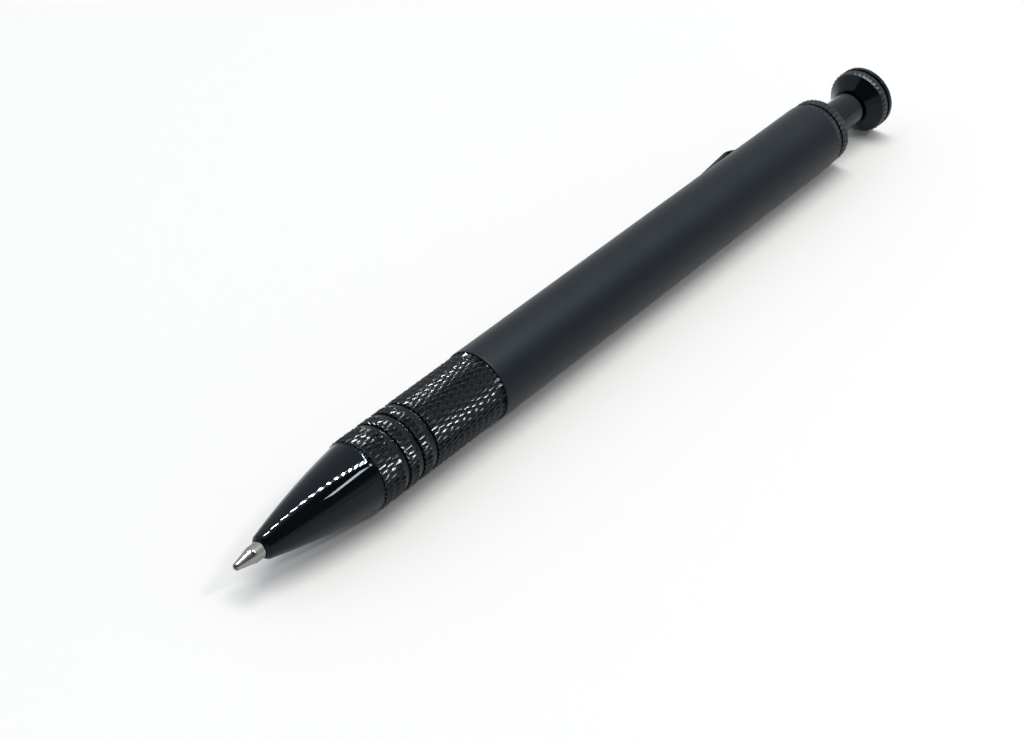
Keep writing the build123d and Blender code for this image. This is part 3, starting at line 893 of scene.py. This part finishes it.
@dataclass(frozen=True)
class Plunger:
    """The stem and the thumb button.

    Attributes:
        stem_end: Station where the thick stem ends.
        head_start: Station of the button's boss.
        rim: Stations of the button's knurled rim.
        rim_chamfers: Chamfers on the rim's two ends.
        plate: Stations of the plain disc at the very end.
        fit: Clearance round the neck and the disc's spigot.
        tuck: How far the rim's hidden seat lies below the knurl's valleys.
        bevel: Length and depth of the bevel on the rim's seat.
    """

    stem_start: float = 77.0
    flange_end: float = 78.5
    flange_radius: float = 3.3
    spigot_bore: float = 1.83
    spigot_room: float = 80.6
    stem_radius: float = 2.8
    stem_end: float = 94.8
    neck_radius: float = 2.35
    neck_tip: float = 96.9
    head_start: float = 95.4
    boss_radius: float = 3.05
    rim: Pair = (97.3, 98.6)
    rim_radius: float = 5.3
    rim_chamfers: Pair = (0.3, 0.04)
    seat_rise: float = 0.15
    face_radius: float = 4.98
    spigot_radius: float = 3.0
    spigot_length: float = 0.5
    plate: Pair = (99.0, 99.75)
    plate_radius: float = 5.25
    groove_radius: float = 4.8
    fit: float = 0.03
    tuck: float = 0.05
    bevel: Pair = (0.02, 0.1)
    stem_flats: int = 128
    stem_edge: float = 0.14
    head_edge: float = 0.06
    disc_edge: float = 0.08
    knurl: Knurl = Knurl(depth=0.22)

    def stem(self, axis: PenAxis) -> BMesh:
        """Turns the stem with its inner flange and its neck."""
        turning = Turning(axis).to(
            (self.spigot_room, 0.0),
            (self.spigot_room, self.spigot_bore),
            (self.stem_start, self.spigot_bore),
            (self.stem_start, self.flange_radius),
            (self.flange_end, self.flange_radius),
            (self.flange_end, self.stem_radius),
            (self.stem_end, self.stem_radius),
            (self.stem_end, self.neck_radius),
            (self.neck_tip, self.neck_radius),
            (self.neck_tip, 0.0),
        )
        return soften(turning.turned(self.stem_flats, closed=False), self.stem_edge)

    def head(self, axis: PenAxis) -> BMesh:
        """Turns the cone, with a seat for the knurled rim and one for the disc."""
        start, end = self.rim
        under = self.rim_radius - self.knurl.depth - self.tuck
        seat = end - self.spigot_length
        turning = Turning(axis).to(
            (self.head_start, self.neck_radius + self.fit),
            (self.head_start, self.boss_radius),
            (start, self.face_radius),
            (start + self.seat_rise, under),
            (end - self.bevel[0], under),
            (end, under - self.bevel[1]),
            (end, self.spigot_radius + self.fit),
            (seat, self.spigot_radius + self.fit),
            (seat, self.neck_radius + self.fit),
        )
        return soften(turning.turned(), self.head_edge, 2)

    def knurled_rim(self, axis: PenAxis) -> BMesh:
        """Knurls the rim round the cone."""
        row_at, inner = sum(self.rim) / 2, self.rim_radius - self.knurl.depth - 3 * self.tuck
        return self.knurl.tube(axis, self.rim_radius, self.rim, inner, row_at, self.rim_chamfers)

    def disc(self, axis: PenAxis) -> BMesh:
        """Turns the plain end disc with its step and rounded edges."""
        start, end = self.plate
        back = self.rim[1]
        turning = Turning(axis).to(
            (back - self.spigot_length, 0.0),
            (back - self.spigot_length, self.spigot_radius),
            (back, self.spigot_radius),
            (back, self.groove_radius),
            (start, self.groove_radius),
            (start, self.plate_radius),
            (end, self.plate_radius),
            (end, 0.0),
        )
        return soften(turning.turned(closed=False), self.disc_edge)

    def build(self, axis: PenAxis) -> None:
        """Makes the stem, the button's cone and rim, and the disc."""
        Placing("stem_rod", "plunger", "plunger_stem", STEM_BLACK).fill(self.stem(axis))
        Placing("button_knob", "plunger", "button_head", GLOSS_BLACK).fill(self.head(axis))
        Placing("button_rim", "plunger", "button_head", RIM_BLACK).fill(self.knurled_rim(axis))
        Placing("button_disc", "plunger", "button_plate", GLOSS_BLACK).fill(self.disc(axis))


@dataclass(frozen=True)
class WritingTip:
    """The steel point, its ball and the spring behind it.

    Attributes:
        rim: Station of the socket's rim.
        cone_end: Station where the cone meets the neck.
        neck_end: Station where the neck goes into the refill.
        spring: Stations of the spring's two ends.
        still: How much of each end of the spring would stay with its seat, as a share of the wire's radius.
    """

    rim: float = -46.2
    rim_radius: float = 0.48
    mouth_radius: float = 0.4
    cone_end: float = -43.5
    shoulder_radius: float = 1.1
    shoulder: float = 0.07
    neck_radius: float = 1.17
    neck_end: float = -36.2
    stub_radius: float = 0.95
    stub_end: float = -31.2
    channel: float = 0.25
    flats: int = 96
    edge: float = 0.05
    least: float = 12.0
    ball_centre: float = -46.05
    ball_radius: float = 0.397
    ball_splits: int = 4
    spring: Pair = (-38.3, -28.4)
    coil_radius: float = 1.775
    wire_radius: float = 0.175
    wire_flats: int = 12
    turns: int = 8
    turn_steps: int = 32
    still: float = 1.5

    def point(self, axis: PenAxis) -> BMesh:
        """Turns the cone and neck, with a socket for the ball."""
        turning = Turning(axis).to(
            (self.rim, self.mouth_radius),
            (self.rim, self.rim_radius),
            (self.cone_end, self.shoulder_radius),
            (self.cone_end + self.shoulder, self.neck_radius),
            (self.neck_end, self.neck_radius),
            (self.neck_end, self.stub_radius),
            (self.stub_end, self.stub_radius),
            (self.stub_end, self.channel),
            (self.ball_centre + self.ball_radius, self.channel),
        )
        return soften(turning.turned(self.flats), self.edge, least=self.least)

    def ball(self, axis: PenAxis) -> BMesh:
        """Makes the writing ball."""
        bm = bmesh.new()
        bmesh.ops.create_icosphere(bm, subdivisions=self.ball_splits, radius=self.ball_radius * MM)
        bmesh.ops.translate(bm, vec=axis.at(self.ball_centre), verts=bm.verts)
        return bm

    def coil(self, axis: PenAxis) -> BMesh:
        """Winds the spring as a screw of a round wire."""
        start, end = self.spring
        bm = bmesh.new()
        bmesh.ops.create_circle(
            bm, cap_ends=True, segments=self.wire_flats, radius=self.wire_radius * MM
        )
        for vert in bm.verts:
            vert.co = axis.at(start, self.coil_radius) + Vector((vert.co.x, 0, vert.co.y))
        steps = self.turn_steps * self.turns
        bmesh.ops.spin(
            bm,
            geom=bm.verts[:] + bm.edges[:] + bm.faces[:],
            cent=axis.at(start),
            axis=(1, 0, 0),
            dvec=((end - start) * MM / steps, 0, 0),
            angle=FULL_TURN * self.turns,
            steps=steps,
            use_duplicate=False,
        )
        bmesh.ops.recalc_face_normals(bm, faces=bm.faces)
        return bm

    def build(self, axis: PenAxis) -> None:
        """Makes the point, the ball and the spring."""
        Placing("tip_point", "refill", "refill_tip", TIP_STEEL).fill(self.point(axis))
        Placing("tip_sphere", "ball", "tip_ball", BALL_CARBIDE).fill(self.ball(axis))
        front, back = self.spring
        still = self.still * self.wire_radius
        stretch = Stretch("refill", axis.at(front + still), axis.at(back - still))
        Placing("spring_coil", "casing", "refill_spring", SPRING_STEEL, stretch).fill(self.coil(axis))


@dataclass(frozen=True)
class InnerWorks:
    """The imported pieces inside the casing, which keep their solids and get a finish.

    Attributes:
        finishes: The finish of each node.
    """

    finishes: tuple[tuple[str, Finish], ...] = (
        ("grip_bush", BRASS),
        ("clip_keeper", SPRING_STEEL),
        ("refill_tube", REFILL_STEEL),
        ("ink_column", INK),
        ("refill_plug", PLUG_PLASTIC),
        ("rotor", MECHANISM_PLASTIC),
        ("cam_sleeve", MECHANISM_PLASTIC),
        ("push_cam", MECHANISM_PLASTIC),
    )

    def build(self) -> None:
        """Gives each node its finish."""
        for node, finish in self.finishes:
            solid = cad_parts[node]
            solid.data.materials.clear()
            solid.data.materials.append(finish.material())
            log.info("%s: %s", node, finish.name)


@dataclass(frozen=True)
class Studio:
    """Floor, surroundings, lights and camera.

    Attributes:
        floor_size: Width of the floor in metres.
        horizon: Light of the white surroundings near the floor.
        zenith: Light of the white surroundings overhead.
        opening: Light of the dark opening on the camera's side.
        opening_edges: The opening's three edges: the way that it lies from each, and where it fades in.
        lit: Station that the lamps point at.
        strip_height: Height of the row of small lamps, in metres.
        strip: (along, across) of the row's two ends, as shares of its height.
        lamps: Number of small lamps.
        lamp_sizes: Length across the pen and width along it of the first lamp and of the last
            one, in metres.
        lamp_light: Light of a lamp's face, in watts per square metre.
        softbox_way: Way to the softbox over the floor, as shares of the row's height.
        softbox_size: Size of the softbox along and across the pen, in metres.
        softbox_power: Power of the softbox in watts.
        window_way: Compass angle and height angle of the window, in degrees.
    """

    floor_size: float = 8.0
    horizon: float = 0.72
    zenith: float = 1.0
    opening: float = 0.06
    opening_edges: tuple[tuple[Triple, float, float], ...] = (
        ((-0.914, -0.365, 0.179), -0.06, 0.06),
        ((-0.53, -0.848, 0.0), -0.05, 0.10),
        ((0.0, 0.0, 1.0), 0.18, 0.42),
    )
    floor_colour: Triple = (0.87, 0.87, 0.87)
    floor_roughness: float = 0.7
    floor_shine: float = 0.2
    wall_colour: Triple = (0.92, 0.98, 1.04)
    lamp_colour: Triple = (1.0, 0.96, 0.9)
    lit: float = -33.0
    strip_height: float = 1.4
    strip: tuple[Pair, Pair] = ((0.055, 0.354), (0.374, -0.446))
    lamps: int = 14
    lamp_sizes: tuple[Pair, Pair] = ((0.2, 0.009), (0.15, 0.0105))
    lamp_light: float = 1800.0
    softbox_way: Triple = (0.21, -0.05, 1.0)
    softbox_size: Pair = (0.45, 1.1)
    softbox_power: float = 10.9
    window_way: Pair = (-68.4, 49.0)
    window_size: Pair = (0.21, 0.16)
    window_power: float = 3.4
    window_far: float = 1.5
    camera_place: Triple = (-195.53, -156.05, 176.69)
    camera_aim: Triple = (-20.56, -3.17, 5.5)
    camera_roll: float = 2.775
    camera_lens: float = 73.25
    camera_sensor: float = 36.0
    camera_near: float = 0.01

    def floor(self) -> None:
        """Lays a plain pale floor."""
        bm = bmesh.new()
        bmesh.ops.create_grid(bm, x_segments=1, y_segments=1, size=self.floor_size / 2)
        mesh = mesh_of(bm, "floor")
        paint = bpy.data.materials.new("pale_floor")
        paint.use_nodes = True
        shader = paint.node_tree.nodes["Principled BSDF"]
        dial(shader, Base_Color=(*self.floor_colour, 1.0), Roughness=self.floor_roughness)
        dial(shader, Specular_IOR_Level=self.floor_shine)
        mesh.materials.append(paint)
        floor = show("floor", mesh)

    def surroundings(self) -> None:
        """Makes white walls all round, with a dark opening above the floor on the camera's side."""
        world = bpy.data.worlds.new("studio")
        bpy.context.scene.world = world
        world.use_nodes = True
        nodes, links = world.node_tree.nodes, world.node_tree.links
        back = nodes["Background"]
        way = nodes.new("ShaderNodeTexCoord")
        masks = []
        for facing, low, high in self.opening_edges:
            dot = nodes.new("ShaderNodeVectorMath")
            dot.operation = "DOT_PRODUCT"
            dot.inputs[1].default_value = facing
            links.new(way.outputs["Generated"], dot.inputs[0])
            edge = nodes.new("ShaderNodeMapRange")
            edge.interpolation_type = "SMOOTHSTEP"
            dial(edge, From_Min=low, From_Max=high)
            links.new(dot.outputs["Value"], edge.inputs["Value"])
            masks.append(edge.outputs["Result"])
        dark = masks[0]
        for mask in masks[1:]:
            both = nodes.new("ShaderNodeMath")
            both.operation = "MULTIPLY"
            links.new(dark, both.inputs[0])
            links.new(mask, both.inputs[1])
            dark = both.outputs["Value"]
        height = nodes.new("ShaderNodeSeparateXYZ")
        links.new(way.outputs["Generated"], height.inputs["Vector"])
        walls = nodes.new("ShaderNodeMapRange")
        dial(walls, To_Min=self.horizon, To_Max=self.zenith)
        links.new(height.outputs["Z"], walls.inputs["Value"])
        light = nodes.new("ShaderNodeMix")
        links.new(dark, light.inputs["Factor"])
        links.new(walls.outputs["Result"], light.inputs["A"])
        dial(light, B=self.opening)
        links.new(light.outputs["Result"], back.inputs["Strength"])
        dial(back, Color=(*self.wall_colour, 1.0))

    def lights(self, axis: PenAxis) -> None:
        """Hangs a row of small lamps and a softbox over the pen, and a window beside it."""
        under = axis.at(self.lit)
        along, across = Vector((1, 0, 0)), Vector((0, 1, 0))
        ends = [Vector((*end, 1.0)) * self.strip_height for end in self.strip]
        for n in range(self.lamps):
            share = n / (self.lamps - 1)
            place = under + ends[0].lerp(ends[1], share)
            length, width = Vector(self.lamp_sizes[0]).lerp(Vector(self.lamp_sizes[1]), share)
            power = self.lamp_light * length * width
            self.lamp(f"lamp_{n:02d}", place, under, (length, width), power, across, diffuse=False)
        above = under + Vector(self.softbox_way) * self.strip_height
        size, power = self.softbox_size, self.softbox_power
        self.lamp("softbox", above, under, size, power, along, glossy=False)
        compass, height = (math.radians(a) for a in self.window_way)
        level = Vector((math.cos(compass), math.sin(compass), 0.0))
        way = level * math.cos(height) + UP * math.sin(height)
        size, power = self.window_size, self.window_power
        self.lamp("window", under + way * self.window_far, under, size, power, way.cross(UP))

    def lamp(
        self,
        name: str,
        place: Vector,
        aim: Vector,
        size: Pair,
        power: float,
        along: Vector,
        diffuse: bool = True,
        glossy: bool = True,
    ) -> None:
        """Hangs one lamp.

        Args:
            name: The lamp's name.
            place: Where it hangs.
            aim: Where it points.
            size: Its size along and across.
            power: Its power in watts.
            along: The way that its first side runs.
            diffuse: Whether it lights dull surfaces, such as the floor.
            glossy: Whether it shows in reflections.
        """
        light = bpy.data.lights.new(name, "AREA")
        light.shape = "RECTANGLE"
        light.size, light.size_y = size
        light.energy = power
        light.color = self.lamp_colour
        back = (place - aim).normalized()
        side = (along - back * along.dot(back)).normalized()
        turned = Matrix((side, back.cross(side), back)).transposed()
        holder = show(name, light)
        holder.location = place
        holder.rotation_euler = turned.to_euler()
        holder.visible_camera = False
        holder.visible_diffuse = diffuse
        holder.visible_glossy = glossy

    def camera(self) -> None:
        """Stands the camera at the photograph's viewing angle."""
        lens = bpy.data.cameras.new("camera")
        lens.lens = self.camera_lens
        lens.sensor_width = self.camera_sensor
        lens.clip_start = self.camera_near
        view = show("camera", lens)
        place, aim = Vector(self.camera_place) * MM, Vector(self.camera_aim) * MM
        level = (aim - place).to_track_quat("-Z", "Y")
        rolled = level @ Quaternion((0, 0, 1), -math.radians(self.camera_roll))
        view.location = place
        view.rotation_euler = rolled.to_euler()
        bpy.context.scene.camera = view

    def build(self, axis: PenAxis) -> None:
        """Makes the whole stage."""
        self.floor()
        self.surroundings()
        self.lights(axis)
        self.camera()
        bpy.context.scene.view_settings.view_transform = "Standard"


def main() -> None:
    """Builds the pen's sub-assemblies in order, then the stage."""
    logging.basicConfig(level=logging.INFO, format="%(name)s: %(message)s")
    axis = PenAxis()
    FrontEnd().build(axis)
    Barrel().build(axis)
    PocketClip().build(axis)
    RearCollar().build(axis)
    Plunger().build(axis)
    WritingTip().build(axis)
    InnerWorks().build()
    Studio().build(axis)


if __name__ == "__main__":
    main()
